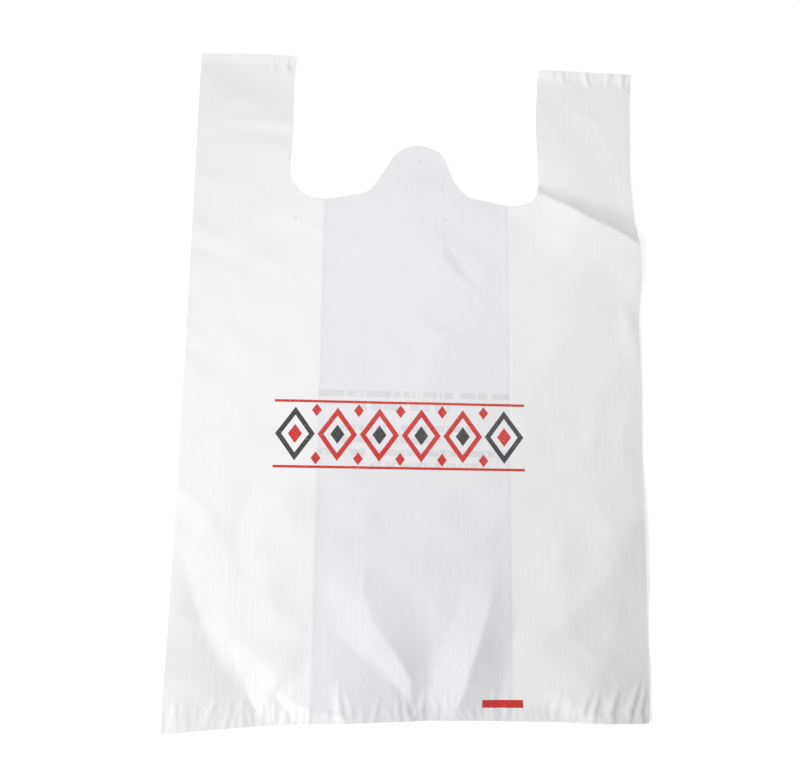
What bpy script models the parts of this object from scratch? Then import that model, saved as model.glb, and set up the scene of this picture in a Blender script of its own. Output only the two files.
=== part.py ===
"""Gusseted carrier bag of thin film, lying flat with its front panel up.

The bag is one blown tube of film. Its two sides are tucked inwards as gussets, so that four plies lie on
each other along each side and two in the middle. The tube is welded across near its bottom edge and across
the top of each handle, and the mouth is cut out of all the plies between the handles, with a tab left
standing in its middle. Metres, +Z up, +Y towards the handles, origin at the middle of the underside.
"""

import math

import bmesh
import bpy
from mathutils import Vector

# Folded bag
BAG_WIDTH = 0.320
BAG_LENGTH = 0.470
GUSSET_DEPTH = 0.093
HANDLE_WIDTH = 0.068

# Film, and how loosely its plies lie on each other
FILM_THICKNESS = 0.0003
PLY_GAP = 0.0005
WELDED_PLY_GAP = 0.0002
GATHER_LENGTH = 0.030
GATHER_STEPS = 4
FOLD_SEGMENTS = 6

# Mouth and tab
MOUTH_DEPTH = 0.1075
MOUTH_CORNER_RADIUS = 0.024
MOUTH_FLOOR_RISE = 0.0045
TAB_HEIGHT = 0.043
TAB_TOP_RADIUS = 0.022
TAB_FLANK = math.radians(58)
TAB_FILLET_RADIUS = 0.014
ARC_STEP = math.radians(7.5)

# Welds, measured from the film's cut edges to the near side of the weld line
BOTTOM_SKIRT = 0.0095
HANDLE_SKIRT = 0.0050
WELD_WIDTH = 0.0025

# How far a cutter runs past what it cuts
CUT_MARGIN = 0.010

FILM_COLOUR = (0.86, 0.86, 0.85, 1.0)
FILM_ROUGHNESS = 0.42

HALF_WIDTH = BAG_WIDTH / 2
HALF_LENGTH = BAG_LENGTH / 2
PLIES = 4


def clear_scene():
    """Remove whatever the scene holds."""
    for old in list(bpy.data.objects):
        bpy.data.objects.remove(old, do_unlink=True)


def new_collection(name):
    collection = bpy.data.collections.new(name)
    bpy.context.scene.collection.children.link(collection)
    return collection


def film_material():
    """White film with a soft shine."""
    material = bpy.data.materials.new("film")
    material.use_nodes = True
    shader = material.node_tree.nodes["Principled BSDF"]
    shader.inputs["Base Color"].default_value = FILM_COLOUR
    shader.inputs["Roughness"].default_value = FILM_ROUGHNESS
    shader.inputs["Metallic"].default_value = 0.0
    return material


def arc(centre, radius, start, end, steps):
    """Points of an arc from start to end, both in radians, ends included."""
    turn = (end - start) / steps
    return [centre + radius * Vector((math.cos(start + turn * i), math.sin(start + turn * i)))
            for i in range(steps + 1)]


def ply_levels(gap):
    """Heights of the middles of the four plies, for a gap between them."""
    pitch = FILM_THICKNESS + gap
    return [FILM_THICKNESS / 2 + pitch * ply for ply in range(PLIES)]


def stack_height(gap):
    """Height of the four plies and the gaps between them."""
    return PLIES * FILM_THICKNESS + (PLIES - 1) * gap


def right_folds(gap):
    """Half of the section, from the back panel up to the front panel on the +X side.

    The film turns up at the side edge, runs in to the gusset's inner fold, turns up again, runs out to
    the side edge and turns up once more. Each turn is a half circle as high as the ply pitch.
    """
    levels = ply_levels(gap)
    radius = (FILM_THICKNESS + gap) / 2
    edge_x = HALF_WIDTH - FILM_THICKNESS / 2 - radius
    inner_x = HALF_WIDTH - GUSSET_DEPTH + FILM_THICKNESS / 2 + radius
    up, down, half_turn = math.pi / 2, -math.pi / 2, math.pi
    points = []
    points += arc(Vector((edge_x, levels[0] + radius)), radius, down, up, FOLD_SEGMENTS)
    points += arc(Vector((inner_x, levels[1] + radius)), radius, down, down - half_turn, FOLD_SEGMENTS)
    points += arc(Vector((edge_x, levels[2] + radius)), radius, down, up, FOLD_SEGMENTS)
    return points


def tube_section(gap):
    """The whole closed section: the +X folds, then their mirror images in the opposite order."""
    right = right_folds(gap)
    left = [Vector((-point.x, point.y)) for point in reversed(right)]
    return right + left


def gap_stations():
    """Places along Y, from the bottom edge to the handle tops, with the ply gap at each.

    The plies lie close together in the skirts and at the welds, and part smoothly away from them.
    """
    bottom_weld_end = -HALF_LENGTH + BOTTOM_SKIRT + 2 * WELD_WIDTH
    handle_weld_end = HALF_LENGTH - HANDLE_SKIRT - 2 * WELD_WIDTH
    stations = [(-HALF_LENGTH, WELDED_PLY_GAP)]
    for step in range(GATHER_STEPS + 1):
        part = step / GATHER_STEPS
        ease = part * part * (3 - 2 * part)
        gap = WELDED_PLY_GAP + (PLY_GAP - WELDED_PLY_GAP) * ease
        stations.append((bottom_weld_end + GATHER_LENGTH * part, gap))
        stations.append((handle_weld_end - GATHER_LENGTH * part, gap))
    stations.append((HALF_LENGTH, WELDED_PLY_GAP))
    return sorted(stations)


def film_tube(collection):
    """The gusseted tube, as an open surface through the middle of the film, with Solidify on it."""
    mesh = bpy.data.meshes.new("carrier_bag")
    bag = bpy.data.objects.new("carrier_bag", mesh)
    collection.objects.link(bag)
    shape = bmesh.new()
    ring = None
    for y, gap in gap_stations():
        section = tube_section(gap)
        new_ring = [shape.verts.new((point.x, y, point.y)) for point in section]
        if ring is not None:
            for i, corner in enumerate(ring):
                j = (i + 1) % len(ring)
                shape.faces.new((corner, ring[j], new_ring[j], new_ring[i]))
        ring = new_ring
    bmesh.ops.recalc_face_normals(shape, faces=shape.faces)
    shape.to_mesh(mesh)
    shape.free()
    wall = bag.modifiers.new("film wall", "SOLIDIFY")
    wall.thickness = FILM_THICKNESS
    wall.offset = 0.0
    wall.use_even_offset = True
    return bag


def arc_steps(turn):
    return max(1, round(abs(turn) / ARC_STEP))


def mouth_outline():
    """Outline of what is cut away between the handles, from the +X handle round to the -X handle.

    Each half has a round corner at the handle, a floor that rises to the tab, a fillet, the tab's straight
    flank and its round top, all tangent to each other.
    """
    floor_y = HALF_LENGTH - MOUTH_DEPTH
    corner = Vector((HALF_WIDTH - HANDLE_WIDTH - MOUTH_CORNER_RADIUS, floor_y + MOUTH_CORNER_RADIUS))
    tab_top = Vector((0.0, floor_y + TAB_HEIGHT - TAB_TOP_RADIUS))

    # The fillet's circle touches the flank from outside, and its own foot stands on the raised floor.
    flank_normal = Vector((math.sin(TAB_FLANK), math.cos(TAB_FLANK)))
    down_flank = Vector((math.cos(TAB_FLANK), -math.sin(TAB_FLANK)))
    start = tab_top + flank_normal * (TAB_TOP_RADIUS + TAB_FILLET_RADIUS)
    fillet_y = floor_y + MOUTH_FLOOR_RISE + TAB_FILLET_RADIUS
    fillet = start + down_flank * ((start.y - fillet_y) / math.sin(TAB_FLANK))

    # The floor touches the corner's circle and the fillet's circle from below.
    across = corner - fillet
    floor_angle = math.atan2(across.y, across.x)
    floor_angle -= math.asin((MOUTH_CORNER_RADIUS - TAB_FILLET_RADIUS) / across.length)
    floor_touch = floor_angle - math.pi / 2
    top_touch = math.pi / 2 - TAB_FLANK
    flank_touch = top_touch - math.pi

    half = arc(corner, MOUTH_CORNER_RADIUS, 0.0, floor_touch, arc_steps(floor_touch))
    half += arc(fillet, TAB_FILLET_RADIUS, floor_touch, flank_touch, arc_steps(flank_touch - floor_touch))
    half += arc(tab_top, TAB_TOP_RADIUS, top_touch, math.pi / 2, arc_steps(TAB_FLANK))
    over_top = Vector((half[0].x, HALF_LENGTH + CUT_MARGIN))
    mirrored = [Vector((-point.x, point.y)) for point in reversed(half[:-1])]
    return [over_top] + half + mirrored + [Vector((-over_top.x, over_top.y))]


def as_cutter(tool):
    """Keep an object that only cuts or joins out of the picture."""
    tool.hide_render = True
    tool.display_type = "WIRE"


def mouth_cutter(collection):
    """The mouth's outline as a flat curve with a thickness, made a mesh for cutting."""
    outline = mouth_outline()
    curve = bpy.data.curves.new("mouth outline", "CURVE")
    curve.dimensions = "2D"
    curve.fill_mode = "BOTH"
    curve.extrude = stack_height(PLY_GAP) / 2 + CUT_MARGIN
    spline = curve.splines.new("POLY")
    spline.points.add(len(outline) - 1)
    for place, point in zip(spline.points, outline):
        place.co = (point.x, point.y, 0.0, 1.0)
    spline.use_cyclic_u = True
    flat = bpy.data.objects.new("mouth outline", curve)
    collection.objects.link(flat)
    flat.location.z = stack_height(PLY_GAP) / 2
    bpy.context.view_layer.update()
    evaluated = flat.evaluated_get(bpy.context.evaluated_depsgraph_get())
    mesh = bpy.data.meshes.new_from_object(evaluated)
    block = bmesh.new()
    block.from_mesh(mesh)
    bmesh.ops.remove_doubles(block, verts=block.verts, dist=1e-6)
    bmesh.ops.recalc_face_normals(block, faces=block.faces)
    block.to_mesh(mesh)
    block.free()
    cutter = bpy.data.objects.new("mouth cutter", mesh)
    cutter.matrix_world = flat.matrix_world.copy()
    collection.objects.link(cutter)
    bpy.data.objects.remove(flat, do_unlink=True)
    as_cutter(cutter)
    return cutter


def weld_bar(name, collection, low_x, high_x, low_y):
    """A weld line: a bar of solid film through all the plies, flush inside the outer ones."""
    size = Vector((high_x - low_x, WELD_WIDTH, stack_height(WELDED_PLY_GAP) - FILM_THICKNESS))
    bpy.ops.mesh.primitive_cube_add(size=1.0)
    bar = bpy.context.object
    bar.name = name
    for owner in list(bar.users_collection):
        owner.objects.unlink(bar)
    collection.objects.link(bar)
    bar.scale = size
    bar.location = (low_x + size.x / 2, low_y + size.y / 2, stack_height(WELDED_PLY_GAP) / 2)
    as_cutter(bar)
    return bar


def add_boolean(target, tool, operation):
    step = target.modifiers.new(tool.name, "BOOLEAN")
    step.operation = operation
    step.solver = "EXACT"
    step.object = tool


def build():
    clear_scene()
    parts = new_collection("plastic carrier bag")
    tools = new_collection("cutters and weld bars")
    bag = film_tube(parts)
    bag.data.materials.append(film_material())
    add_boolean(bag, mouth_cutter(tools), "DIFFERENCE")

    # A weld stops half a film thickness inside the film's outer faces and cut edges.
    inset = FILM_THICKNESS / 2
    side_x = HALF_WIDTH - inset
    handle_x = HALF_WIDTH - HANDLE_WIDTH + inset
    bottom_y = -HALF_LENGTH + BOTTOM_SKIRT
    handle_y = HALF_LENGTH - HANDLE_SKIRT - WELD_WIDTH
    add_boolean(bag, weld_bar("bottom weld", tools, -side_x, side_x, bottom_y), "UNION")
    add_boolean(bag, weld_bar("right handle weld", tools, handle_x, side_x, handle_y), "UNION")
    add_boolean(bag, weld_bar("left handle weld", tools, -side_x, -handle_x, handle_y), "UNION")


build()
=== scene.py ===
"""Looks of a thin film carrier bag that lies flat on a table.

The film is worked the way the real one is. A flat sheet is laid out, its mouth is cut, it is folded round
into a gusseted tube and welded across, it is pulled out of true, and it is creased and puckered by the welds.
Then it gets its wall and its print. The stage holds the table, the lamps and the camera.
"""

import math
from typing import NamedTuple

import bpy
import numpy as np
from bpy.props import FloatProperty, FloatVectorProperty, IntProperty, PointerProperty
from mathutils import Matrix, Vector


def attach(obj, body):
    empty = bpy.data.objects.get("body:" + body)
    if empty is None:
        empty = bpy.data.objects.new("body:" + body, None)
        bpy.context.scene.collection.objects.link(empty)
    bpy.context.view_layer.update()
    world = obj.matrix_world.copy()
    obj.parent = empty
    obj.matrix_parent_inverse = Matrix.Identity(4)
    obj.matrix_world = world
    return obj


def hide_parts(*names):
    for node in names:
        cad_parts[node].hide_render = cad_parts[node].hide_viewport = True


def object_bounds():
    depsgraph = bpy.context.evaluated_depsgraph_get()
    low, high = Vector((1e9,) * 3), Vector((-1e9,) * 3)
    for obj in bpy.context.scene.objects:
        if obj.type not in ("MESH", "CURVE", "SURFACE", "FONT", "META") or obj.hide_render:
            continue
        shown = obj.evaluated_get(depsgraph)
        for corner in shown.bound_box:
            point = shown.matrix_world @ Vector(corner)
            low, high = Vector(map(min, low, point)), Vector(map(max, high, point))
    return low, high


bl_info = {
    "name": "Film Carrier Bag",
    "version": (1, 0, 0),
    "blender": (4, 5, 0),
    "location": "3D View > Sidebar > Carrier Bag",
    "description": "Makes a folded, welded and creased film carrier bag on its stage",
    "category": "Add Mesh",
}

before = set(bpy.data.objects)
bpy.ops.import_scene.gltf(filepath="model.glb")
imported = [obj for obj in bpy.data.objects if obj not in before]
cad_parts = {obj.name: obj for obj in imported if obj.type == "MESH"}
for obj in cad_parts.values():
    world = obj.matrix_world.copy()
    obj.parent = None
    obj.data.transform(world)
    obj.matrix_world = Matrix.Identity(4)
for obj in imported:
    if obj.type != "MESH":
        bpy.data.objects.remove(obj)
CAD_LOW, CAD_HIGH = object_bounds()

MM = 0.001
PLIES = 4


def metres(name, description, default, precision=3):
    """A setting in metres."""
    return FloatProperty(
        name=name, description=description, default=default, unit="LENGTH", precision=precision,
    )


def amount(name, description, default):
    """A plain setting."""
    return FloatProperty(name=name, description=description, default=default)


def fraction(name, description, default):
    """A setting from 0 to 1."""
    return FloatProperty(
        name=name, description=description, default=default, min=0.0, max=1.0, subtype="FACTOR",
    )


def colour(name, description, default):
    """A colour setting."""
    return FloatVectorProperty(name=name, description=description, subtype="COLOR", size=3, default=default)


def whole(name, description, default, least):
    """A setting that counts rows or columns."""
    return IntProperty(name=name, description=description, default=default, min=least)


class FilmSizes(bpy.types.PropertyGroup):
    """Sizes of the bag as it lies folded."""

    width: metres("Folded width", "From side fold to side fold", CAD_HIGH.x - CAD_LOW.x)
    length: metres("Length", "From the bottom edge to the handle tops", CAD_HIGH.y - CAD_LOW.y)
    gusset: metres("Gusset depth", "How far each side is tucked in", 0.093)
    handle: metres("Handle width", "Width of each handle as it lies", 0.068)
    wall: metres("Film wall", "Thickness of the film", 0.0001, 5)
    open_pitch: metres("Ply pitch", "From ply to ply where they lie loosely on each other", 0.00016, 5)
    weld_pitch: metres("Welded ply pitch", "From ply to ply at the welds", 0.00013, 5)
    bottom_skirt: metres("Bottom skirt", "From the bottom edge to the weld line", 0.0095)
    handle_skirt: metres("Handle skirt", "From a handle's top edge to its weld line", 0.0050)
    weld_width: metres("Weld width", "Width of a weld line", 0.0025)


class MouthSizes(bpy.types.PropertyGroup):
    """Sizes of the cut between the handles."""

    depth: metres("Depth", "From the handle tops to the mouth's corners", 0.1075)
    corner: metres("Corner radius", "Round corner beside each handle", 0.024)
    floor_rise: metres("Floor rise", "How much the floor rises towards the tab", 0.0045)
    tab_height: metres("Tab height", "From the mouth's corners to the tab's top", 0.043)
    tab_top: metres("Tab top radius", "Round top of the tab", 0.022)
    tab_flank: FloatProperty(
        name="Tab flank", description="Slope of the tab's straight flanks",
        default=math.radians(58), subtype="ANGLE",
    )
    tab_fillet: metres("Tab fillet radius", "Round foot of the tab", 0.014)


class FilmMesh(bpy.types.PropertyGroup):
    """How finely the film is divided."""

    rows: whole("Body rows", "Coarse rows from the bottom edge to the mouth", 38, 12)
    handle_rows: whole("Handle rows", "Coarse rows from the mouth to the handle tops", 8, 3)
    middle_columns: whole("Middle columns", "Coarse columns from the middle to a gusset's inner fold", 7, 2)
    corner_columns: whole("Corner columns", "Coarse columns from the inner fold to the handle", 3, 1)
    handle_columns: whole("Handle columns", "Coarse columns across a handle", 7, 2)
    bottom_band: metres("Bottom band", "Height of the fine band at the bottom edge, in every ply", 0.024)
    pucker_band: metres("Pucker band", "Height of the finest band in the front panel's foot", 0.031)
    skirt_band: metres("Skirt band", "Height of the finest band at the bottom edge, in every ply", 0.0125)
    handle_band: metres("Handle band", "Height of the finest band at the handle tops, in every ply", 0.0100)


class FilmFinish(bpy.types.PropertyGroup):
    """Colours and shine of the film and its print."""

    side: colour("Film on four plies", "Colour where a gusset lies under the film", (0.873, 0.868, 0.870))
    middle: colour("Film on two plies", "Colour where only the other panel does", (0.816, 0.808, 0.830))
    red: colour("Red ink", "Colour of the red print", (0.550, 0.008, 0.006))
    black: colour("Black ink", "Colour of the black print", (0.008, 0.007, 0.008))
    roughness: fraction("Roughness", "Roughness of the bare film", 0.40)
    show_through: fraction("Show-through", "How much the back print darkens the front of the film", 0.14)


class StageSettings(bpy.types.PropertyGroup):
    """The table, the lamps and the camera."""

    table: colour("Table", "Colour of the table", (0.93, 0.93, 0.93))
    table_size: metres("Table size", "Side of the square table top", 8.0)
    key_power: amount("Key power", "Power of the soft lamp on the left, in watts", 10.15)
    key_size: metres("Key size", "Side of the soft lamp on the left", 0.40)
    fill_power: amount("Fill power", "Power of the soft lamp overhead, in watts", 2.15)
    fill_size: metres("Fill size", "Side of the soft lamp overhead", 0.50)
    ambient: amount("Ambient", "Strength of the even light from all round", 0.19)
    glow: amount("Table glow", "How much the camera sees the table brighter than its light makes it", 0.39)
    lens: amount("Lens", "Focal length for a sensor 36 mm wide, in millimetres", 36.0)


SETTINGS = {
    "bag_sizes": FilmSizes,
    "bag_mouth": MouthSizes,
    "bag_mesh": FilmMesh,
    "bag_finish": FilmFinish,
    "bag_stage": StageSettings,
}


class Node(NamedTuple):
    """A point of a ridge, in millimetres: its place, its rise, and how wide the ridge's two flanks are there.

    Left and right are as seen on the way along the ridge.
    """

    x: float
    y: float
    rise: float = 0.0
    left: float = 1.0
    right: float = 1.0


class Ridge(NamedTuple):
    """A crest in the lying film, along its nodes. A rise below zero makes a valley.

    A flank more hollow than 1 is steep at the crest, and one less hollow than 1 is steep at its foot.
    """

    nodes: tuple
    crest: float = 1.0
    left_hollow: float = 1.0
    right_hollow: float = 1.0


def ridge(*rows, **shape):
    """A ridge from the numbers of its nodes."""
    return Ridge(tuple(Node(*row) for row in rows), **shape)


def short_ridge(start, end, rises, left, right, crest):
    """A straight ridge between two places, with one rise at its start and another at its end."""
    return ridge((*start, rises[0], left, right), (*end, rises[1], left, right), crest=crest)


# The fold over the right handle's foot. It drops to the handle on its left, and eases into the body on its
# right.
HANDLE_RIDGE = ridge(
    (86, 140.5, 1.2, 7, 24),
    (105, 131.2, 2.7, 13, 34),
    (123, 122, 3.6, 17, 40),
    (146, 110.6, 4.2, 21, 44),
    (172, 96, 4.4, 25, 44),
    crest=0.6, left_hollow=2.0, right_hollow=1.4,
)

# The broad folds that fan out from the bottom weld. Where two of them meet, the higher one shows.
LEFT_CORNER = ridge(
    (-163, -118, 0.2, 5, 10),
    (-163, -153, 2.2, 15, 10),
    (-163, -166, 3.5, 22, 10),
    (-163, -179, 4.7, 27, 10),
    (-163, -191, 6.3, 34, 10),
    (-163, -204, 8.2, 46, 10),
    (-163, -218, 9.3, 58, 10),
    (-163, -234, 9.4, 68, 10),
    left_hollow=0.66,
)
LEFT_FACET = ridge(
    (-132, -153, 0.2, 40, 12),
    (-117, -174, 0.5, 44, 20),
    (-101, -189, 1.2, 40, 26),
    (-88, -203, 2.2, 30, 30),
    (-94, -216, 1.8, 30, 22),
    crest=0.8,
)
MIDDLE_CORNER = ridge(
    (-84, -214, 2.2, 20, 10),
    (-66, -222, 3.9, 43, 12),
    (-40, -228, 4.4, 42, 12),
    (-16, -234, 3.8, 31, 12),
    (-4, -234, 2.2, 22, 12),
    left_hollow=0.6,
)
LEFT_FOLD = ridge(
    (-31, -124, 0.3, 16, 14),
    (-34, -146, 1.5, 24, 24),
    (-28, -164, 2.6, 34, 27),
    (-18.5, -178, 3.2, 33, 26),
    (-9.5, -191, 3.2, 26, 21),
    (-2, -204, 2.6, 17, 15),
    (-1, -216, 1.4, 8, 8),
    crest=0.7, left_hollow=1.5,
)
RIGHT_FOLD = ridge(
    (58, -131, 0.2, 12, 14),
    (54, -145, 0.8, 16, 17),
    (49, -165, 2.8, 22, 19),
    (43.5, -180, 4.1, 26, 20),
    (40, -191, 4.5, 26, 22),
    (36.5, -204, 4.2, 24, 25),
    (31.5, -216, 2.8, 18, 18),
    crest=0.8, left_hollow=1.15,
)
UPPER_SIDE_FOLD = ridge(
    (156, -88, 0.6, 20, 30),
    (148, -112, 2.0, 26, 50),
    (136, -131, 3.0, 32, 60),
    (122, -148, 3.2, 36, 60),
    (104, -164.5, 2.6, 34, 50),
    (91, -173.5, 1.8, 30, 36),
    (76, -182, 0.8, 20, 20),
    crest=1.5, right_hollow=1.4,
)
LOWER_SIDE_FOLD = ridge(
    (152, -172, 0.4, 14, 14),
    (138, -184, 1.4, 24, 28),
    (127, -196, 3.2, 34, 52),
    (119, -208, 4.6, 42, 66),
    (113, -220, 4.4, 42, 60),
    crest=2.0, left_hollow=0.6, right_hollow=1.3,
)
BOTTOM_FOLDS = (
    LEFT_CORNER, LEFT_FACET, MIDDLE_CORNER, LEFT_FOLD, RIGHT_FOLD, UPPER_SIDE_FOLD, LOWER_SIDE_FOLD,
)

# Soft creases higher up. Most have a steep flank towards the upper right and a gentle one that faces the
# light. The fold at the handle adds to them.
CREASES = [
    HANDLE_RIDGE,
    ridge(
        (15, 105, 0.32, 6, 18), (18, 90, 0.74, 6, 22), (27, 75, 0.96, 6, 24), (38, 65, 0.85, 6, 20),
        (49, 56, 0.32, 8, 16),
        crest=1.2,
    ),
    ridge(
        (-1, 46, 0.21, 5, 12), (7, 36, 0.63, 5.5, 16), (21, 29, 0.74, 5.5, 16), (36, 25, 0.32, 5, 12),
        crest=1.2,
    ),
    ridge((17, 22, 0.32, 20, 12), (10, 3, 0.85, 26, 14), (5, -10, 0.63, 22, 12), crest=1.5),
    ridge(
        (-159, -79, 0.32, 5, 10), (-151, -86, 0.53, 6, 12), (-140, -96, 0.53, 6, 12),
        (-134, -109, 0.32, 7, 12),
        crest=0.8,
    ),
    ridge(
        (-113, -90, -0.32, 10, 6), (-117.5, -103, -0.53, 12, 7), (-118.5, -117.5, -0.53, 12, 7),
        (-114.5, -129, -0.32, 10, 6),
        crest=0.8,
    ),
    ridge((116, -98, 0.32, 14, 24), (102, -118, 0.96, 17, 28), (94, -136, 0.63, 14, 22), crest=2.0),
]

# The straight ones: start, end, the rise at each, the widths of both flanks, and the crest
CREASES += [short_ridge(*row) for row in (
    ((-90, -86), (-83, -106), (0.32, 0.32), 12, 14, 2.0),
    ((-109, -138), (-73, -139), (-0.32, -0.32), 14, 9, 1.0),
    ((-112, -176), (-72, -180), (-0.32, -0.21), 8, 6, 1.0),
    ((-51, -86), (-33, -95), (0.37, 0.32), 4.5, 12, 0.8),
    ((24, 100), (44, 89), (0.32, 0.26), 5, 9, 1.0),
    ((-60, 105), (-39, 97), (0.37, 0.32), 6, 12, 1.2),
    ((-155, 106), (-138, 92), (0.43, 0.32), 5, 10, 1.0),
    ((-151, 80), (-130, 72), (0.43, 0.32), 5, 10, 1.0),
    ((-155, 25), (-140, 13), (0.37, 0.21), 6, 6, 1.0),
    ((-156, 6), (-148, -2), (0.32, 0.21), 6, 6, 1.0),
    ((-146, 181), (-133, 200), (0.43, 0.32), 10, 5, 0.8),
    ((-130, 185), (-92, 184), (0.53, 0.53), 7, 5, 0.8),
    ((-121, 170), (-92, 166), (0.32, 0.63), 8, 12, 1.0),
    ((-80, 108), (-68, 103), (0.32, 0.32), 3, 3, 0.6),
    ((4.5, -79), (5, -126), (0.06, 0.06), 3, 3, 0.6),
    ((154, 44), (158, 22), (0.63, 0.53), 7, 7, 1.0),
    ((126, -84), (139, -108), (0.53, 0.63), 14, 16, 2.0),
    ((127, -22), (126, -44), (0.43, 0.43), 9, 9, 2.0),
)]

# The lines that get finer faces. The last one is the valley at the foot of the left corner.
LEFT_VALLEY = ridge((-142, -166), (-137.5, -178.5), (-128.5, -191), (-116.5, -203.5), (-104.5, -216))
CRISP_LINES = (HANDLE_RIDGE, LEFT_FOLD, RIGHT_FOLD, LEFT_VALLEY)
CRISP_REACH = 3 * MM
CRISP_HALF_WIDTH = 5 * MM

# How softly a ridge's flank runs out, how far the ridge fades past its ends, and how its stretches share a
# point between them
FLANK_FOOT = 0.06
END_FADE = 9 * MM
NEAR = 4 * MM
NEAR_POWER = 12


class Pucker(NamedTuple):
    """A narrow pleat that stands on a weld line, in millimetres.

    It has a place, a height, half a width, a reach into the bag and a lean per millimetre of that. At the
    cut edge its foot lies some way from its place.
    """

    place: float
    height: float
    half_width: float
    reach: float
    lean: float
    foot: float


def puckers_from(*rows):
    return [Pucker(*row) for row in rows]


BOTTOM_PUCKERS = puckers_from(
    (-151.5, 0.45, 3.6, 9, 0.05, 2.0), (-145, 0.45, 2.6, 8, 0.10, 1.0), (-130, 0.60, 4.0, 12, 0.25, -4.0),
    (-118, 0.45, 3.0, 10, 0.05, -3.0), (-110.5, 0.55, 3.4, 12, 0.15, 2.0), (-97.5, 0.40, 3.0, 8, -0.10, 0.0),
    (-90, 0.35, 2.6, 9, 0.05, 1.5), (-82, 0.40, 2.6, 9, 0.10, -1.0), (-47, 0.95, 4.6, 23, -0.10, 3.0),
    (-39.5, 0.40, 2.2, 16, -0.35, -2.0), (-24, 0.50, 2.6, 17, 0.25, -1.5), (-9, 0.50, 2.6, 10, 0.10, 1.0),
    (-3.5, 0.75, 3.2, 15, -0.20, 2.5), (6.5, 0.65, 3.2, 15, 0.10, 1.0), (17.5, 0.45, 2.4, 13, -0.30, -2.0),
    (24, 0.45, 2.0, 14, -0.12, -3.0), (26, 0.45, 2.0, 14, 0.20, 0.0), (28, 0.50, 2.2, 14, 0.50, 3.0),
    (31, 0.40, 2.2, 11, 0.95, 6.0), (53.5, 0.55, 2.8, 18, 0.15, 1.0), (63.5, 0.50, 2.6, 14, 0.10, -1.0),
    (88.5, 0.35, 3.0, 9, 0.10, 1.0), (95.5, 0.55, 3.4, 15, 0.30, -1.0), (104, 0.45, 2.6, 11, 0.20, 1.0),
    (113.5, 0.65, 3.2, 14, 0.45, 2.0), (120.5, 0.95, 3.4, 16, 0.30, -1.0), (132, 1.10, 4.0, 18, 0.45, 1.0),
    (145.5, 1.15, 4.2, 21, 0.40, -1.0), (153, 0.90, 3.2, 20, 0.25, 1.0),
)
HANDLE_PUCKERS = puckers_from(
    (-149, 0.35, 2.6, 3, 0.0, 1.0), (-128, 0.45, 2.4, 5, 0.1, -1.0), (-118, 0.50, 2.6, 6, -0.1, 1.0),
    (-107, 0.80, 3.4, 9, 0.2, 0.0), (-98, 1.10, 3.6, 12, 0.3, 1.0), (101.5, 0.40, 2.4, 3, 0.0, 1.0),
    (109.5, 0.45, 2.4, 4, 0.1, -1.0), (127.5, 0.70, 2.8, 7, 0.4, -1.0), (143.5, 0.60, 2.6, 6, -0.1, 1.0),
    (155, 0.70, 2.6, 9, 0.0, 0.0),
)


def smooth_step(value, low, high):
    """0 at low and 1 at high, with a smooth way between them."""
    share = np.clip((value - low) / (high - low), 0.0, 1.0)
    return share * share * (3.0 - 2.0 * share)


def blend(first, second, share):
    return first + (second - first) * share


def ripples(x, y, wavelength, waves, seed):
    """A smooth random relief from about -1 to 1, made of plane waves in random directions."""
    draw = np.random.default_rng(seed)
    total = np.zeros_like(x)
    for _ in range(waves):
        angle = draw.uniform(0.0, math.tau)
        number = math.tau / (wavelength * draw.uniform(0.7, 1.5))
        phase = draw.uniform(0.0, math.tau)
        total += np.sin(number * (x * math.cos(angle) + y * math.sin(angle)) + phase)
    return total / math.sqrt(waves)


def arc(centre, radius, start, end, steps=24):
    """Points of an arc from start to end, both in radians."""
    turns = np.linspace(start, end, steps + 1)
    return [(centre[0] + radius * math.cos(turn), centre[1] + radius * math.sin(turn)) for turn in turns]


def mouth_line(sizes, mouth):
    """Half of the mouth's outline, from the handle's inner edge to the tab's top, as two arrays.

    A round corner, a floor that rises to the tab, a fillet, the tab's straight flank and its round top are
    all tangent to each other.
    """
    floor_y = sizes.length / 2 - mouth.depth
    corner = (sizes.width / 2 - sizes.handle - mouth.corner, floor_y + mouth.corner)
    tab_top = (0.0, floor_y + mouth.tab_height - mouth.tab_top)

    # The fillet's circle touches the flank from outside, and its own foot stands on the raised floor.
    reach = mouth.tab_top + mouth.tab_fillet
    start_x = reach * math.sin(mouth.tab_flank)
    start_y = tab_top[1] + reach * math.cos(mouth.tab_flank)
    fillet_y = floor_y + mouth.floor_rise + mouth.tab_fillet
    fillet = (start_x + (start_y - fillet_y) / math.tan(mouth.tab_flank), fillet_y)

    # The floor touches the corner's circle and the fillet's circle from below.
    across = math.hypot(corner[0] - fillet[0], corner[1] - fillet[1])
    floor_turn = math.atan2(corner[1] - fillet[1], corner[0] - fillet[0])
    floor_turn -= math.asin((mouth.corner - mouth.tab_fillet) / across)
    floor_touch = floor_turn - math.pi / 2
    top_touch = math.pi / 2 - mouth.tab_flank
    points = arc(corner, mouth.corner, 0.0, floor_touch)
    points += arc(fillet, mouth.tab_fillet, floor_touch, top_touch - math.pi)
    points += arc(tab_top, mouth.tab_top, top_touch, math.pi / 2)
    outline = np.array(points)
    return outline[::-1, 0], outline[::-1, 1]


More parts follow.
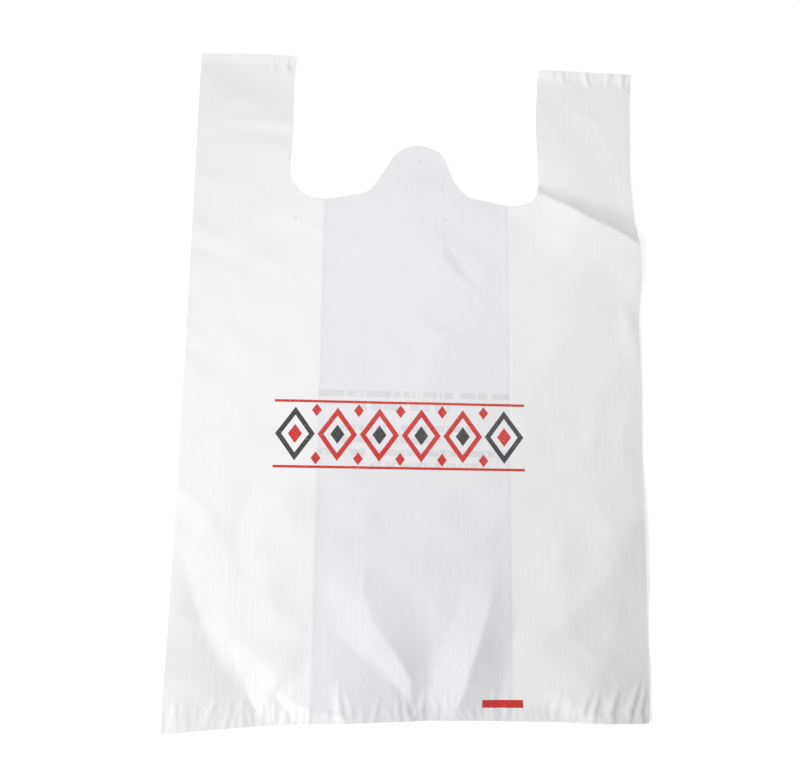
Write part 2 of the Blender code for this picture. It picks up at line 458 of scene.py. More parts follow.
class TubeWay:
    """The way round the folded tube: for each place along the film, its place across the bag and its ply.

    It starts in the middle of the back panel and goes towards +X. Ply 0 is the back panel, 1 and 2 are the
    two plies of a gusset, and 3 is the front panel.
    """

    def __init__(self, sizes, mesh):
        nose = sizes.open_pitch / 2
        self.side = sizes.width / 2 - nose - sizes.wall / 2
        self.inner = sizes.width / 2 - sizes.gusset + nose + sizes.wall / 2
        self.handle = sizes.width / 2 - sizes.handle
        self.columns = (mesh.middle_columns, mesh.corner_columns, mesh.handle_columns)
        gusset = self.places(1)
        panel = self.places(0)
        right = [(x, 0) for x in panel] + [(x, 1) for x in gusset[::-1]]
        right += [(x, 2) for x in gusset] + [(x, 3) for x in panel[::-1]]
        left = [(-x, ply) for x, ply in reversed(right)][1:]
        stations = right + left
        self.across = np.array([x for x, _ in stations])
        self.ply = np.array([float(ply) for _, ply in stations])
        steps = np.where(np.diff(self.ply) == 0, np.abs(np.diff(self.across)), math.pi * nose)
        self.along = np.concatenate(([0.0], np.cumsum(steps)))

    def places(self, first):
        """Column places from the middle, or from the inner fold when first is 1, out to the side fold."""
        stops = [0.0, self.inner, self.handle, self.side]
        found = [stops[first]]
        for part in range(first, 3):
            found += list(np.linspace(stops[part], stops[part + 1], self.columns[part] + 1)[1:])
        return found

    @property
    def perimeter(self):
        return float(self.along[-1])

    def at(self, film):
        """Place across the bag, ply, and which way across the film runs there, for places along the film."""
        across = np.interp(film, self.along, self.across)
        ply = np.interp(film, self.along, self.ply)
        part = np.clip(np.searchsorted(self.along, film, side="right") - 1, 0, len(self.along) - 2)
        heading = np.sign(np.diff(self.across))[part]
        return across, ply, heading


def read_vectors(parts, name):
    """One vector of each vertex or face, as an array."""
    values = np.empty(len(parts) * 3)
    parts.foreach_get(name, values)
    return values.reshape(-1, 3)


def write_vertices(mesh, co):
    mesh.vertices.foreach_set("co", co.ravel())
    mesh.update()


def pick_faces(bag, picked):
    """Go into edit mode with only the picked faces selected."""
    mesh = bag.data
    bpy.context.tool_settings.mesh_select_mode = (False, False, True)
    mesh.vertices.foreach_set("select", np.zeros(len(mesh.vertices), bool))
    mesh.edges.foreach_set("select", np.zeros(len(mesh.edges), bool))
    mesh.polygons.foreach_set("select", picked)
    bpy.ops.object.mode_set(mode="EDIT")


def divide_faces(bag, picked, cuts):
    """Subdivide the picked faces while the sheet is still flat."""
    pick_faces(bag, picked)
    bpy.ops.mesh.subdivide(number_cuts=cuts, ngon=True)
    bpy.ops.object.mode_set(mode="OBJECT")


def lay_out_sheet(sizes, mouth, mesh_sizes, way):
    """The film as a flat sheet, as long round as the tube, with its mouth cut out in straight steps."""
    corner_y = sizes.length / 2 - mouth.depth + mouth.corner
    rows = np.concatenate((
        np.linspace(-sizes.length / 2, corner_y, mesh_sizes.rows + 1),
        np.linspace(corner_y, sizes.length / 2, mesh_sizes.handle_rows + 1)[1:],
    ))
    columns = way.along
    bpy.ops.mesh.primitive_grid_add(x_subdivisions=len(columns) - 1, y_subdivisions=len(rows) - 1, size=1.0)
    bag = bpy.context.object
    bag.name = bag.data.name = "film_bag"
    co = read_vectors(bag.data.vertices, "co")
    column = np.rint((co[:, 0] + 0.5) * (len(columns) - 1)).astype(int)
    row = np.rint((co[:, 1] + 0.5) * (len(rows) - 1)).astype(int)
    write_vertices(bag.data, np.stack((columns[column], rows[row], np.zeros(len(co))), axis=1))

    centres = read_vectors(bag.data.polygons, "center")
    across, _, _ = way.at(centres[:, 0])
    pick_faces(bag, (centres[:, 1] > corner_y) & (np.abs(across) < way.handle))
    bpy.ops.mesh.delete(type="FACE")
    bpy.ops.object.mode_set(mode="OBJECT")
    return bag


# A place round the tube counts as the front panel from this ply on, near the end of the side fold's last turn
FRONT_FROM = PLIES - 1.2


def refine_sheet(bag, sizes, mouth, mesh_sizes, way):
    """Finer faces in the front panel, at the welds, round the mouth and in the side folds."""
    bottom, top = -sizes.length / 2, sizes.length / 2
    corner_y = top - mouth.depth + mouth.corner
    row = (corner_y - bottom) / mesh_sizes.rows
    centres = read_vectors(bag.data.polygons, "center")
    across, ply, _ = way.at(centres[:, 0])
    front = ply > FRONT_FROM
    side_fold = (np.abs(across) > way.side - MM) & (ply % 1 > 0)
    low = centres[:, 1] < bottom + mesh_sizes.bottom_band
    rim = (centres[:, 1] > corner_y - row) & (centres[:, 1] < corner_y) & (np.abs(across) < way.handle)
    high = centres[:, 1] > top - 2 * row
    divide_faces(bag, front | side_fold | low | rim | high, 3)

    centres = read_vectors(bag.data.polygons, "center")
    across, ply, _ = way.at(centres[:, 0])
    front = ply > FRONT_FROM
    skirt = centres[:, 1] < bottom + mesh_sizes.skirt_band
    puckered = front & (centres[:, 1] < bottom + mesh_sizes.pucker_band)
    handle_top = centres[:, 1] > top - mesh_sizes.handle_band
    crisp = front & near_crisp_lines(across, centres[:, 1])
    divide_faces(bag, skirt | puckered | handle_top | crisp, 1)


def near_crisp_lines(x, y):
    """True close to the sharpest crests and valleys."""
    found = np.zeros(len(x), bool)
    for line in CRISP_LINES:
        for start, end in zip(line.nodes, line.nodes[1:]):
            way = Way(start, end, x, y)
            found |= (way.before + way.past < CRISP_REACH) & (np.abs(way.side) < CRISP_HALF_WIDTH)
    return found


class Way:
    """Where points lie beside the way from one node to the next.

    Share of the way, how far before its start or past its end, and how far to its left.
    """

    def __init__(self, start, end, x, y):
        run_x, run_y = (end.x - start.x) * MM, (end.y - start.y) * MM
        length = math.hypot(run_x, run_y)
        off_x, off_y = x - start.x * MM, y - start.y * MM
        forward = (off_x * run_x + off_y * run_y) / length
        self.side = (off_y * run_x - off_x * run_y) / length
        self.share = np.clip(forward / length, 0.0, 1.0)
        self.before = np.maximum(-forward, 0.0)
        self.past = np.maximum(forward - length, 0.0)


def tent(distance, width, crest):
    """Height of a crest with straight flanks: 1 on its line, 0 past its width, round at its top and foot."""
    fall = 1.0 - (np.hypot(distance, crest) - crest) / width
    return (fall + np.hypot(fall, FLANK_FOOT)) / 2


def ridge_relief(ridge, x, y, fade):
    """Relief of one ridge. Its stretches share each point by nearness, and only the ridge's own ends fade."""
    relief = np.zeros_like(x)
    shares = np.zeros_like(x)
    last = len(ridge.nodes) - 2
    for index, (start, end) in enumerate(zip(ridge.nodes, ridge.nodes[1:])):
        way = Way(start, end, x, y)
        beyond = way.before * (index == 0) + way.past * (index == last)
        bend = way.before + way.past - beyond
        reach = np.hypot(way.side, bend)
        width = np.where(
            way.side > 0, blend(start.left, end.left, way.share), blend(start.right, end.right, way.share),
        )
        rise = blend(start.rise, end.rise, way.share) * np.exp(-(beyond / fade) ** 2)
        shape = tent(reach, width * MM, ridge.crest * MM)
        shape = np.where(way.side > 0, shape ** ridge.left_hollow, shape ** ridge.right_hollow)
        nearness = (NEAR / (NEAR + np.hypot(reach, beyond))) ** NEAR_POWER
        relief += nearness * rise * MM * shape
        shares += nearness
    return relief / shares


def small_puckers(low, high, spacing, height, reach, seed):
    """Random puckers that fill a weld line between the listed ones, in millimetres."""
    draw = np.random.default_rng(seed)
    place, found = low, []
    while place < high:
        found.append(Pucker(
            place, height * draw.uniform(0.3, 1.0), spacing * draw.uniform(0.25, 0.55),
            reach * draw.uniform(0.35, 1.3), draw.uniform(-0.35, 0.35), draw.uniform(-0.5, 0.5) * spacing,
        ))
        place += spacing * draw.uniform(0.5, 1.5)
    return found


PUCKER_CREST = 0.35
PUCKER_FADE = 1.2 * MM
PUCKER_REACH = 34 * MM


def pucker_ridge(pucker, skirt, draw):
    """A pucker as a ridge from its tip over a kink and the weld line to the cut edge.

    Along y the ridge counts from the weld line into the bag. It is narrow where it is low, so its facets keep
    their slope, and its flank away from the light is the steeper one.
    """
    tip_x = pucker.place + pucker.lean * pucker.reach
    kink = pucker.reach * draw.uniform(0.3, 0.55)
    kink_x = pucker.place + pucker.lean * kink + draw.uniform(-0.3, 0.3) * pucker.half_width
    steep = pucker.half_width * draw.uniform(0.55, 0.85)
    gentle = pucker.half_width * draw.uniform(1.0, 1.5)
    edge = draw.uniform(0.2, 0.9)
    spread = 0.5 + edge
    return ridge(
        (tip_x, pucker.reach, 0.0, steep * 0.3, gentle * 0.3),
        (kink_x, kink, pucker.height * 0.65, steep * 0.75, gentle * 0.75),
        (pucker.place, 0.0, pucker.height, steep, gentle),
        (pucker.place + pucker.foot, -skirt, pucker.height * edge, steep * spread, gentle * spread),
        crest=PUCKER_CREST,
    )


def pucker_relief(x, away, puckers, skirt, seed):
    """Relief of the pleats on a weld line. Away is the distance from the weld into the bag."""
    draw = np.random.default_rng(seed)
    total = np.zeros_like(x)
    near = away < PUCKER_REACH
    for pucker in puckers:
        pleat = pucker_ridge(pucker, skirt / MM + 1.0, draw)
        total[near] = np.maximum(total[near], ridge_relief(pleat, x[near], away[near], PUCKER_FADE))
    return total


GATHER = 26 * MM
GROOVE_DEPTH = 0.06 * MM
GROOVE_WIDTH = 1.6 * MM
SKIRT_REACH = 12 * MM
BOTTOM_SKIRT_SLOPE = 0.06
HANDLE_SKIRT_SLOPE = 0.16


def gather(y, sizes):
    """1 where the plies are held together by a weld, 0 where they are free."""
    bottom = -sizes.length / 2 + sizes.bottom_skirt + sizes.weld_width
    top = sizes.length / 2 - sizes.handle_skirt - sizes.weld_width
    return np.maximum(1.0 - smooth_step(y, bottom, bottom + GATHER), smooth_step(y, top - GATHER, top))


def weld_relief(away, slope):
    """A shallow groove along a weld line, and a skirt that turns up beyond it."""
    groove = -GROOVE_DEPTH * np.exp(-(away / GROOVE_WIDTH) ** 2)
    return groove + slope * np.clip(-away, 0.0, SKIRT_REACH)


# How far the folds wander from their straight lines, and the heights of the film's random waves
WANDER = 0.4 * MM
BROAD_WAVE, MEDIUM_WAVE, CRUMPLE, FINE_CRUMPLE = 0.25, 0.14, 0.30, 0.04

# How high the front panel lies on the whole, and how softly it comes to rest on what lies under it
LIFT = 0.7 * MM
SOFT_REST = 0.25 * MM

# Spacing, height and reach of the random puckers, in millimetres
BOTTOM_SMALL = (4.6, 0.42, 6)
HANDLE_SMALL = (4.6, 0.18, 4)


def film_relief(x, y, film_y, sizes):
    """Height of the front panel above where it would lie quite flat."""
    wander_x = x + WANDER * ripples(x, y, 30 * MM, 9, 3)
    wander_y = y + WANDER * ripples(x, y, 30 * MM, 9, 4)
    relief = np.zeros_like(x)
    for fold in BOTTOM_FOLDS:
        relief = np.maximum(relief, ridge_relief(fold, wander_x, wander_y, END_FADE))
    for crease in CREASES:
        relief += ridge_relief(crease, wander_x, wander_y, END_FADE)
    broad = ripples(x, y, 120 * MM, 10, 11)
    medium = ripples(x, y, 42 * MM, 14, 12)
    crumple = 1.0 - np.abs(ripples(wander_x, wander_y, 60 * MM, 10, 13))
    fine = 1.0 - np.abs(ripples(wander_x, wander_y, 16 * MM, 10, 14))
    relief += (BROAD_WAVE * broad + MEDIUM_WAVE * medium + CRUMPLE * crumple + FINE_CRUMPLE * fine) * MM
    relief += LIFT

    bottom_weld = -sizes.length / 2 + sizes.bottom_skirt + sizes.weld_width / 2
    relief += weld_relief(film_y - bottom_weld, BOTTOM_SKIRT_SLOPE)
    puckers = BOTTOM_PUCKERS + small_puckers(-160, 158, *BOTTOM_SMALL, 21)
    relief += pucker_relief(x, film_y - bottom_weld, puckers, sizes.bottom_skirt, 31)
    top_weld = sizes.length / 2 - sizes.handle_skirt - sizes.weld_width / 2
    relief += weld_relief(top_weld - film_y, HANDLE_SKIRT_SLOPE)
    small = small_puckers(-158, -94, *HANDLE_SMALL, 22) + small_puckers(92, 158, *HANDLE_SMALL, 23)
    relief += pucker_relief(x, top_weld - film_y, HANDLE_PUCKERS + small, sizes.handle_skirt, 32)

    # A relief below zero would sink the front panel into what lies under it.
    return (relief + np.hypot(relief, SOFT_REST)) / 2


class Pull(NamedTuple):
    """A stretch of the film round a point, in millimetres, as a sculptor's grab would make it."""

    place: tuple
    reach: tuple
    shift: tuple


PULLS = [Pull(*row) for row in (
    # The left handle flares a little at its top and stands higher
    ((-92, 152), (12, 14), (-1.2, 0.0)),
    ((-92, 237), (9, 9), (1.5, 0.0)),
    ((-112, 238), (45, 22), (0.0, 2.4)),
    # The right handle leans to the left, and its top is wider
    ((92, 190), (26, 60), (-3.1, 0.0)),
    ((160, 238), (14, 22), (1.8, 0.0)),
    ((160, 160), (16, 22), (-0.9, 0.0)),
    ((126, 238), (60, 22), (0.0, 1.2)),
    # The side fold bulges beside the fold at the right handle's foot, and less below it
    ((165, 84), (40, 32), (4.8, 0.0)),
    ((162, 4), (30, 46), (2.0, 0.0)),
    ((162, -120), (40, 110), (0.7, 0.0)),
    ((-162, -150), (30, 90), (-0.6, 0.0)),
    # The corners of the bottom edge curl up, which draws them in
    ((-150, -238), (60, 24), (0.0, 1.7)),
    ((-10, -238), (80, 20), (0.0, 0.9)),
    ((162, -234), (20, 20), (-1.3, 0.0)),
    # The tab is a little wider and rounder than it was cut
    ((0, 170), (26, 22), (0.9, 1.4)),
    ((-18, 165), (9, 12), (-0.5, 0.5)),
    ((19, 165), (9, 12), (1.6, 0.3)),
    ((28, 146), (8, 9), (-1.2, -0.7)),
    ((-42, 134), (22, 14), (0.0, 0.8)),
    ((58, 131), (14, 12), (0.0, 0.7)),
    ((-83, 136), (9, 9), (-0.8, -1.5)),
    ((85, 136), (9, 9), (1.5, -1.5)),
)]


# The bottom edge past the weld, in millimetres: how far it is drawn up at its highest place, where that is,
# and how far it sags from there over a distance to its left and to its right
EDGE_RISE = 4.6
EDGE_TOP = 25
LEFT_SAG, LEFT_REACH = 7.0, 185
RIGHT_SAG, RIGHT_REACH = 1.5, 132


def pull_film(x, y, film_y, sizes):
    """Pull the folded film out of true, and skew the bottom edge past the weld."""
    moved_x, moved_y = x.copy(), y.copy()
    for pull in PULLS:
        across = (x / MM - pull.place[0]) / pull.reach[0]
        up = (y / MM - pull.place[1]) / pull.reach[1]
        share = np.exp(-(across ** 2 + up ** 2))
        moved_x += pull.shift[0] * MM * share
        moved_y += pull.shift[1] * MM * share
    weld = -sizes.length / 2 + sizes.bottom_skirt + sizes.weld_width
    past_weld = 1.0 - smooth_step(film_y, -sizes.length / 2, weld)
    offset = x / MM - EDGE_TOP
    sag = np.where(offset < 0, LEFT_SAG * (offset / LEFT_REACH) ** 2, RIGHT_SAG * (offset / RIGHT_REACH) ** 2)
    moved_y += (EDGE_RISE - sag) * MM * past_weld
    return moved_x, moved_y


# How far below the mouth the sheet's rows bend with it, and what rounding may shift a place by
MOUTH_REACH = 130 * MM
ROUNDING = 0.0001 * MM


def follow_mouth(x, y, sizes, mouth, way):
    """Bend the sheet's rows and columns so that its stepped cut follows the mouth's line."""
    line_x, line_y = mouth_line(sizes, mouth)
    corner_y = sizes.length / 2 - mouth.depth + mouth.corner
    corner_x = way.handle - mouth.corner
    below = (np.abs(x) < way.handle + ROUNDING) * (y < corner_y + ROUNDING)
    near = smooth_step(y, corner_y - MOUTH_REACH, corner_y) * below
    share = np.clip((np.abs(x) - corner_x) / mouth.corner, 0.0, 1.0)
    bunched = corner_x + mouth.corner * np.sin(share * math.pi / 2)
    new_x = np.where(np.abs(x) > corner_x, np.sign(x) * blend(np.abs(x), bunched, near ** 3), x)
    new_y = y + near * (np.interp(np.abs(new_x), line_x, line_y) - corner_y)
    return new_x, new_y


# How much of the front panel's relief each ply shares where the plies are free
FOLLOW = (0.10, 0.35, 0.65, 1.0)

# How far from the gussets' inner folds the front panel has come down to the back panel, and by how many plies
SAG_WIDTH = 7.0 * MM
SAG_PLIES = 1.2
TABLE_GAP = 0.02 * MM
WELD_DISTANCE = 0.002 * MM
SMOOTH_ANGLE = math.radians(30)


def fold_film(bag, sizes, mouth, way):
    """Fold the flat sheet round into the tube, give it its relief, and close it at the back."""
    mesh = bag.data
    flat = read_vectors(mesh.vertices, "co")
    x, ply, heading = way.at(flat[:, 0])
    film_x, film_y = follow_mouth(x, flat[:, 1], sizes, mouth, way)
    film_along = flat[:, 0] + (film_x - x) * heading
    lay_uv_map(mesh, film_along / way.perimeter, (film_y + sizes.length / 2) / way.perimeter)

    held = gather(film_y, sizes)
    pitch = blend(sizes.open_pitch, sizes.weld_pitch, held)
    lower = np.floor(ply)
    turn = math.pi * (ply - lower)
    at_side = np.abs(film_x) > (way.side + way.inner) / 2
    outward = np.sign(film_x) * np.where(at_side, 1.0, -1.0)
    folded_x = film_x + outward * pitch / 2 * np.sin(turn)
    storey = lower + (1.0 - np.cos(turn)) / 2

    # With no gusset under it, the front panel sags towards the back panel.
    down = 1.0 - smooth_step(np.abs(film_x), way.inner - SAG_WIDTH, way.inner)
    storey -= np.where(ply > FRONT_FROM, SAG_PLIES * down, 0.0)

    placed_x, placed_y = pull_film(folded_x, film_y, film_y, sizes)
    relief = film_relief(placed_x, placed_y, film_y, sizes)
    follow = blend(np.interp(ply, range(PLIES), FOLLOW), 1.0, held)
    z = TABLE_GAP + sizes.wall / 2 + storey * pitch + follow * relief
    write_vertices(mesh, np.stack((placed_x, placed_y, z), axis=1))

    pick_faces(bag, np.ones(len(mesh.polygons), bool))
    bpy.ops.mesh.remove_doubles(threshold=WELD_DISTANCE)
    bpy.ops.mesh.normals_make_consistent(inside=False)
    bpy.ops.object.mode_set(mode="OBJECT")


def lay_uv_map(mesh, u, v):
    """The piece's own map: the film as it was before it was folded, to one scale."""
    layer = mesh.uv_layers.active or mesh.uv_layers.new()
    layer.name = "film"
    corner = np.empty(len(mesh.loops), int)
    mesh.loops.foreach_get("vertex_index", corner)
    layer.data.foreach_set("uv", np.stack((u[corner], v[corner]), axis=1).ravel())


def give_wall(bag, sizes):
    """The film's thickness, with its inner face on the second material."""
    wall = bag.modifiers.new("film wall", "SOLIDIFY")
    wall.thickness = sizes.wall
    wall.offset = 0.0
    wall.use_even_offset = False
    wall.material_offset = 1
    bpy.ops.object.modifier_apply(modifier=wall.name)
    bpy.ops.object.shade_smooth_by_angle(angle=SMOOTH_ANGLE)


class Field:
    """A shader socket, written in an expression as if it were the number that it carries."""

    def __init__(self, shader, socket):
        self.shader = shader
        self.socket = socket

    def __add__(self, other):
        return self.shader.math("ADD", self, other)

    def __radd__(self, other):
        return self.shader.math("ADD", other, self)

    def __sub__(self, other):
        return self.shader.math("SUBTRACT", self, other)

    def __rsub__(self, other):
        return self.shader.math("SUBTRACT", other, self)

    def __mul__(self, other):
        return self.shader.math("MULTIPLY", self, other)

    def __rmul__(self, other):
        return self.shader.math("MULTIPLY", other, self)

    def __truediv__(self, other):
        return self.shader.math("DIVIDE", self, other)

    def __gt__(self, other):
        return self.shader.math("GREATER_THAN", self, other)

    def __abs__(self):
        return self.shader.math("ABSOLUTE", self)


class Shader:
    """Adds nodes to the tree of one material or world."""

    def __init__(self, owner):
        owner.use_nodes = True
        self.tree = owner.node_tree

    def node(self, kind, settings=(), inputs=(), output=0):
        """Any node: its type, settings, the values or links of its sockets, and the output to go on with."""
        made = self.tree.nodes.new(kind)
        for name, value in dict(settings).items():
            setattr(made, name, value)
        for name, value in dict(inputs).items():
            self.feed(made.inputs[name], value)
        return Field(self, made.outputs[output])

    def feed(self, socket, value):
        if isinstance(value, Field):
            self.tree.links.new(value.socket, socket)
        else:
            socket.default_value = value

    def math(self, operation, *values):
        return self.node("ShaderNodeMath", {"operation": operation}, enumerate(values))

    def least(self, first, second):
        return self.math("MINIMUM", first, second)

    def most(self, first, second):
        return self.math("MAXIMUM", first, second)

    def above(self, value, edge, soft):
        """0 below the edge and 1 above it, over a soft width."""
        settings = {"interpolation_type": "SMOOTHSTEP"}
        inputs = {"Value": value, "From Min": edge - soft / 2, "From Max": edge + soft / 2}
        return self.node("ShaderNodeMapRange", settings, inputs)

    def between(self, value, low, high, soft):
        return self.above(value, low, soft) * (1.0 - self.above(value, high, soft))

    def band(self, value, middle, width, soft):
        return self.between(value, middle - width / 2, middle + width / 2, soft)

    def mix(self, share, first, second, blend_type="MIX"):
        """One colour over another."""
        settings = {"data_type": "RGBA", "blend_type": blend_type}
        return self.node("ShaderNodeMix", settings, {0: share, 6: first, 7: second}, output=2)

    def noise(self, vector, scale, detail=2.0, roughness=0.5, distortion=0.0):
        inputs = {
            "Vector": vector, "Scale": scale, "Detail": detail,
            "Roughness": roughness, "Distortion": distortion,
        }
        return self.node("ShaderNodeTexNoise", (), inputs)

    def seen_plainly(self):
        """1 for rays from the camera and from clear reflections, 0 for the rays that light things."""
        path = self.tree.nodes.new("ShaderNodeLightPath").outputs
        camera, glossy, clear = (
            Field(self, path[ray]) for ray in ("Is Camera Ray", "Is Glossy Ray", "Is Transmission Ray")
        )
        return self.most(self.most(camera, glossy), clear)

    def grey(self, level):
        return self.node("ShaderNodeCombineColor", (), {0: level, 1: level, 2: level})

    def stretch(self, vector, scale):
        return self.node("ShaderNodeVectorMath", {"operation": "MULTIPLY"}, {0: vector, 1: scale})

    def parts(self, vector):
        """The three numbers of a vector."""
        split = self.tree.nodes.new("ShaderNodeSeparateXYZ")
        self.feed(split.inputs[0], vector)
        return [Field(self, socket) for socket in split.outputs]


class FilmPlaces:
    """Where a point of the film is, in metres, for the expressions of the film's materials."""

    def __init__(self, shader, sizes, way):
        perimeter = way.perimeter
        uv = shader.node("ShaderNodeUVMap", {"uv_map": "film"})
        self.vector = shader.stretch(uv, (perimeter, perimeter, 0.0))
        around, along, _ = shader.parts(self.vector)
        self.x = perimeter / 2 - around
        self.along = along
        self.y = along - sizes.length / 2
        self.front = 1.0 - shader.above(abs(self.x), sizes.width / 2, 0.2 * MM)
        self.back_x = perimeter / 2 - abs(self.x)
        self.back = 1.0 - shader.above(self.back_x, sizes.width / 2, 0.2 * MM)
        self.from_middle = shader.least(abs(self.x), self.back_x)


def rgba(rgb):
    return (*rgb, 1.0)


INK_EDGE = 0.25 * MM
PRINT_MIDDLE = (-10 * MM, -42 * MM)
TILE = 29 * MM
TILES = 6
LOZENGE = (13.6 * MM, 18.5 * MM)
RING_INSIDE = 0.70
CORE = 0.36
LINK = (3.4 * MM, 4.5 * MM)
LINK_INSET = 6 * MM
RULE_HEIGHT = 22.6 * MM
RULE_WIDTH = 1.8 * MM


def front_print(shader, film):
    """A plain border: a row of lozenge rings between two rules. Red and black as two masks."""
    x = film.x - PRINT_MIDDLE[0]
    y = film.y - PRINT_MIDDLE[1]
    from_joint = shader.math("PINGPONG", x, TILE / 2)
    in_tile = TILE / 2 - from_joint
    half_length = TILES * TILE / 2
    inside = (1.0 - shader.above(abs(x), half_length, INK_EDGE)) * film.front
    outer_tile = shader.above(abs(x), half_length - TILE, INK_EDGE)
    ring_place = in_tile / LOZENGE[0] + abs(y) / LOZENGE[1]
    soft = INK_EDGE / LOZENGE[0]
    ring = shader.between(ring_place, RING_INSIDE, 1.0, soft)
    core = 1.0 - shader.above(ring_place, CORE, soft)
    link_place = from_joint / LINK[0] + abs(RULE_HEIGHT - LINK_INSET - abs(y)) / LINK[1]
    between_tiles = 1.0 - shader.above(abs(x), half_length - TILE / 4, INK_EDGE)
    link = (1.0 - shader.above(link_place, 1.0, 0.08)) * between_tiles
    rule = shader.band(abs(y), RULE_HEIGHT, RULE_WIDTH, INK_EDGE)
    red = ring * (1.0 - outer_tile) + core * outer_tile + rule + link
    black = ring * outer_tile + core * (1.0 - outer_tile)
    return shader.least(red, 1.0) * inside, shader.least(black, 1.0) * inside


BACK_ROWS = (
    # Height of a row, its left and right ends, and the gap in it, in millimetres
    (-13.5, -67.0, 66.0, 29.0),
    (-22.5, -40.0, 25.0, -6.0),
    (-37.0, -52.0, 40.0, -12.0),
    (-45.5, -52.0, 18.0, -20.0),
    (-54.0, -67.0, 66.0, -31.0),
    (-63.0, -30.0, 46.0, 12.0),
)
ROW_HEIGHT = 4.4 * MM
ROW_GAP = 5.0 * MM
DASH = 1.7 * MM
ROW_PITCH = 8.8 * MM
BLANK_SHARE = 0.22


def back_print(shader, film, x):
    """Rows of plain dashes, for the back panel and for what shows of them through the film."""
    total = 0.0
    for height, left, right, gap in BACK_ROWS:
        row = shader.band(film.y, height * MM, ROW_HEIGHT, INK_EDGE * 3)
        row = row * shader.between(x, left * MM, right * MM, INK_EDGE)
        total = row * (1.0 - shader.band(x, gap * MM, ROW_GAP, INK_EDGE)) + total
    column, line = shader.math("FLOOR", x / DASH), shader.math("FLOOR", film.y / ROW_PITCH)
    cell = shader.node("ShaderNodeCombineXYZ", (), {0: column, 1: line})
    draw = shader.node("ShaderNodeTexWhiteNoise", {"noise_dimensions": "2D"}, {"Vector": cell})
    return total * (draw > BLANK_SHARE) * (0.6 + 0.4 * draw)


PIN_MARKS = ((-87.0, 113.5), (21.0, 116.0), (1.0, 158.5))
PIN_SIZE = (0.9 * MM, 1.1 * MM)
BAR_X = (46.4 * MM, 73.9 * MM)
BAR_Y = (-222.0 * MM, -216.9 * MM)


def pin_marks(shader, film):
    """Small dark marks where pins held the stack while the mouth was cut."""
    total = 0.0
    for x, y in PIN_MARKS:
        across = (film.x - x * MM) / PIN_SIZE[0]
        along = (film.y - y * MM) / PIN_SIZE[1]
        total = total + (1.0 - shader.above(across * across + along * along, 1.0, 0.8))
    return total * film.front


def colour_mark(shader, film):
    """The printer's red bar near the bottom edge."""
    return shader.between(film.x, *BAR_X, INK_EDGE) * shader.between(film.y, *BAR_Y, INK_EDGE) * film.front


def film_material(name, finish, sizes, way, printed):
    """Satin white film: its tone over two and four plies, a painted shade by the gussets' inner folds, its
    crinkles, streaks and welds, and its print.
    """
    material = bpy.data.materials.new(name)
    shader = Shader(material)
    film = FilmPlaces(shader, sizes, way)
    cloud = shader.noise(film.vector, 22.0, 3.0, 0.55)
    crinkle = abs(shader.noise(film.vector, 95.0, 4.0, 0.6, 0.8) - 0.5)
    streaks = shader.noise(shader.stretch(film.vector, (420.0, 7.0, 1.0)), 1.0, 2.0)
    inner_fold = sizes.width / 2 - sizes.gusset
    four_plies = shader.above(film.from_middle, inner_fold, 0.5 * MM)
    # Painted shade: a band just inside each gusset's inner fold is darkened in the colour, as if the fold's
    # edge shaded it
    painted_fold_shade = shader.between(film.from_middle, inner_fold - 2.4 * MM, inner_fold - 0.2 * MM, 1.8 * MM)
    low, high = sizes.bottom_skirt, sizes.length - sizes.handle_skirt
    weld = shader.most(
        shader.between(film.along, low, low + sizes.weld_width, 0.6 * MM),
        shader.between(film.along, high - sizes.weld_width, high, 0.6 * MM),
    )
    # The film's tone: random cloud and streaks and darker welds, with the painted shade by the inner folds
    tone_and_painted_shade = 0.975 + 0.03 * cloud + 0.02 * streaks - 0.05 * painted_fold_shade * cloud - 0.02 * weld * streaks
    if printed:
        ghost = back_print(shader, film, film.x) * film.front * (1.0 - 0.8 * four_plies)
        tone_and_painted_shade = tone_and_painted_shade - finish.show_through * ghost - 0.16 * pin_marks(shader, film)
    base = shader.mix(four_plies, rgba(finish.middle), rgba(finish.side))
    base = shader.mix(1.0, base, shader.grey(tone_and_painted_shade), "MULTIPLY")
    if printed:
        red, black = front_print(shader, film)
        red = red + colour_mark(shader, film)
        back_x = shader.math("SIGN", film.x) * film.back_x
        black = black + back_print(shader, film, back_x) * film.back
        specks = shader.above(shader.noise(film.vector, 1500.0, 1.0), 0.70, 0.04)
        cover = 0.99 - 0.75 * specks
        base = shader.mix(red * cover, base, rgba(finish.red))
        base = shader.mix(black * cover, base, rgba(finish.black))
    height = crinkle * 0.8 + 0.25 * streaks + 0.05 * weld
    bump = shader.node("ShaderNodeBump", (), {"Strength": 0.9, "Distance": 0.4 * MM, "Height": height})
    inputs = shader.tree.nodes["Principled BSDF"].inputs
    shader.feed(inputs["Base Color"], base)
    shader.feed(inputs["Roughness"], finish.roughness - 0.05 + 0.10 * cloud - 0.08 * weld)
    shader.feed(inputs["Normal"], bump)
    inputs["IOR"].default_value = 1.5
    return material


class CARRIER_OT_film_bag(bpy.types.Operator):
    """Lay out, cut, fold, weld, crease and print the film of the bag"""

    bl_idname = "carrier.film_bag"
    bl_label = "Make film bag"

    def execute(self, context):
        scene = context.scene
        sizes, mouth = scene.bag_sizes, scene.bag_mouth
        way = TubeWay(sizes, scene.bag_mesh)
        bag = lay_out_sheet(sizes, mouth, scene.bag_mesh, way)
        refine_sheet(bag, sizes, mouth, scene.bag_mesh, way)
        fold_film(bag, sizes, mouth, way)
        bag.data.materials.append(film_material("printed film", scene.bag_finish, sizes, way, True))
        bag.data.materials.append(film_material("inside of the film", scene.bag_finish, sizes, way, False))
        give_wall(bag, sizes)
        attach(bag, "root")
        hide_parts("carrier_bag")
        return {"FINISHED"}


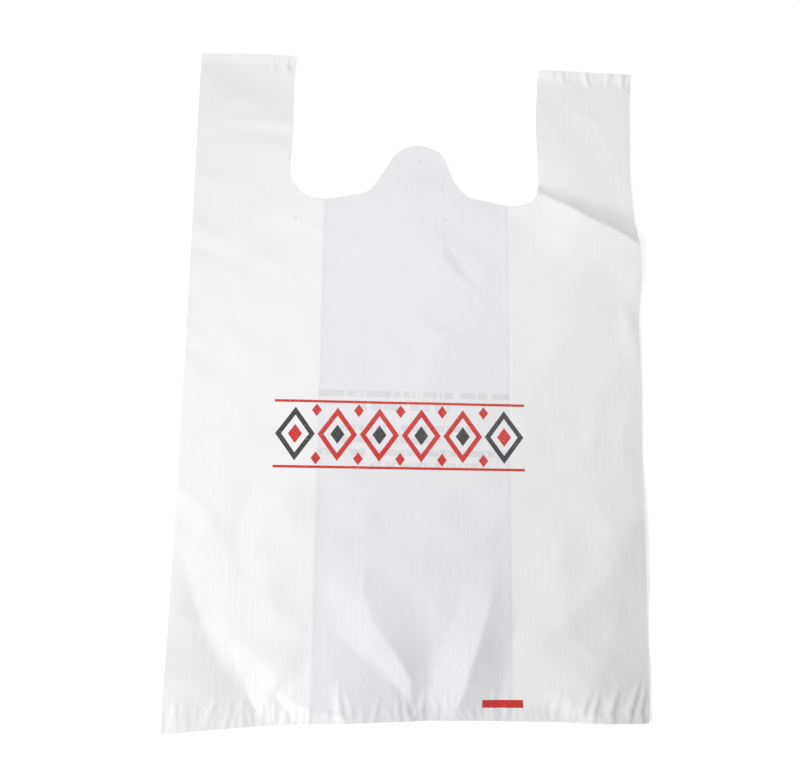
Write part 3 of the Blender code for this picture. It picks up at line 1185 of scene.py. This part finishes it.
def add_table(stage):
    """A dull table top. Its glow shows only to the camera and in clear reflections, so it lights nothing."""
    bpy.ops.mesh.primitive_plane_add(size=stage.table_size)
    table = bpy.context.object
    table.name = "table"
    material = bpy.data.materials.new("table")
    shader = Shader(material)
    inputs = shader.tree.nodes["Principled BSDF"].inputs
    inputs["Base Color"].default_value = rgba(stage.table)
    inputs["Roughness"].default_value = 0.9
    inputs["Specular IOR Level"].default_value = 0.0
    shader.feed(inputs["Emission Color"], shader.grey(shader.seen_plainly() * stage.glow))
    inputs["Emission Strength"].default_value = 1.0
    table.data.materials.append(material)


def light_world(stage):
    """Even light from all round, and white where the camera sees past the table."""
    world = bpy.data.worlds.new("studio")
    bpy.context.scene.world = world
    shader = Shader(world)
    inputs = shader.tree.nodes["Background"].inputs
    inputs["Color"].default_value = (1.0, 1.0, 1.0, 1.0)
    shader.feed(inputs["Strength"], stage.ambient + (1.0 - stage.ambient) * shader.seen_plainly())


KEY_PLACE = (-0.80, -0.50, 0.60)
FILL_PLACE = (0.10, 0.30, 0.65)
CAMERA_PLACE = (-0.0479, -0.0977, 0.5518)
CAMERA_TURN = (math.radians(8.965), math.radians(-3.982), math.radians(0.721))


def hang_lamp(name, place, power, size):
    """A soft square lamp, aimed at the bag's middle."""
    x, y, z = place
    turn = (math.atan2(math.hypot(x, y), z), 0.0, math.atan2(x, -y))
    bpy.ops.object.light_add(type="AREA", location=place, rotation=turn)
    lamp = bpy.context.object
    lamp.name = name
    lamp.data.energy = power
    lamp.data.size = size


def place_camera(stage):
    bpy.ops.object.camera_add(location=CAMERA_PLACE, rotation=CAMERA_TURN)
    camera = bpy.context.object
    camera.data.lens = stage.lens
    camera.data.sensor_width = 36.0
    camera.data.clip_start = 0.01
    bpy.context.scene.camera = camera


class CARRIER_OT_stage(bpy.types.Operator):
    """Set the table, hang the lamps and place the camera"""

    bl_idname = "carrier.stage"
    bl_label = "Set stage"

    def execute(self, context):
        stage = context.scene.bag_stage
        context.scene.view_settings.view_transform = "Standard"
        add_table(stage)
        light_world(stage)
        hang_lamp("key", KEY_PLACE, stage.key_power, stage.key_size)
        hang_lamp("fill", FILL_PLACE, stage.fill_power, stage.fill_size)
        place_camera(stage)
        return {"FINISHED"}


class CARRIER_PT_panel(bpy.types.Panel):
    """The bag's settings and its steps"""

    bl_idname = "CARRIER_PT_panel"
    bl_label = "Carrier Bag"
    bl_space_type = "VIEW_3D"
    bl_region_type = "UI"
    bl_category = "Carrier Bag"

    def draw(self, context):
        for name, group in SETTINGS.items():
            box = self.layout.box()
            for setting in group.__annotations__:
                box.prop(getattr(context.scene, name), setting)
        for operator in OPERATORS:
            self.layout.operator(operator.bl_idname)


OPERATORS = (CARRIER_OT_film_bag, CARRIER_OT_stage)
CLASSES = (*SETTINGS.values(), *OPERATORS, CARRIER_PT_panel)


def register():
    for cls in CLASSES:
        bpy.utils.register_class(cls)
    for name, group in SETTINGS.items():
        setattr(bpy.types.Scene, name, PointerProperty(type=group))


def unregister():
    for name in SETTINGS:
        delattr(bpy.types.Scene, name)
    for cls in reversed(CLASSES):
        bpy.utils.unregister_class(cls)


def main():
    register()
    bpy.ops.carrier.film_bag()
    bpy.ops.carrier.stage()


if __name__ == "__main__":
    main()
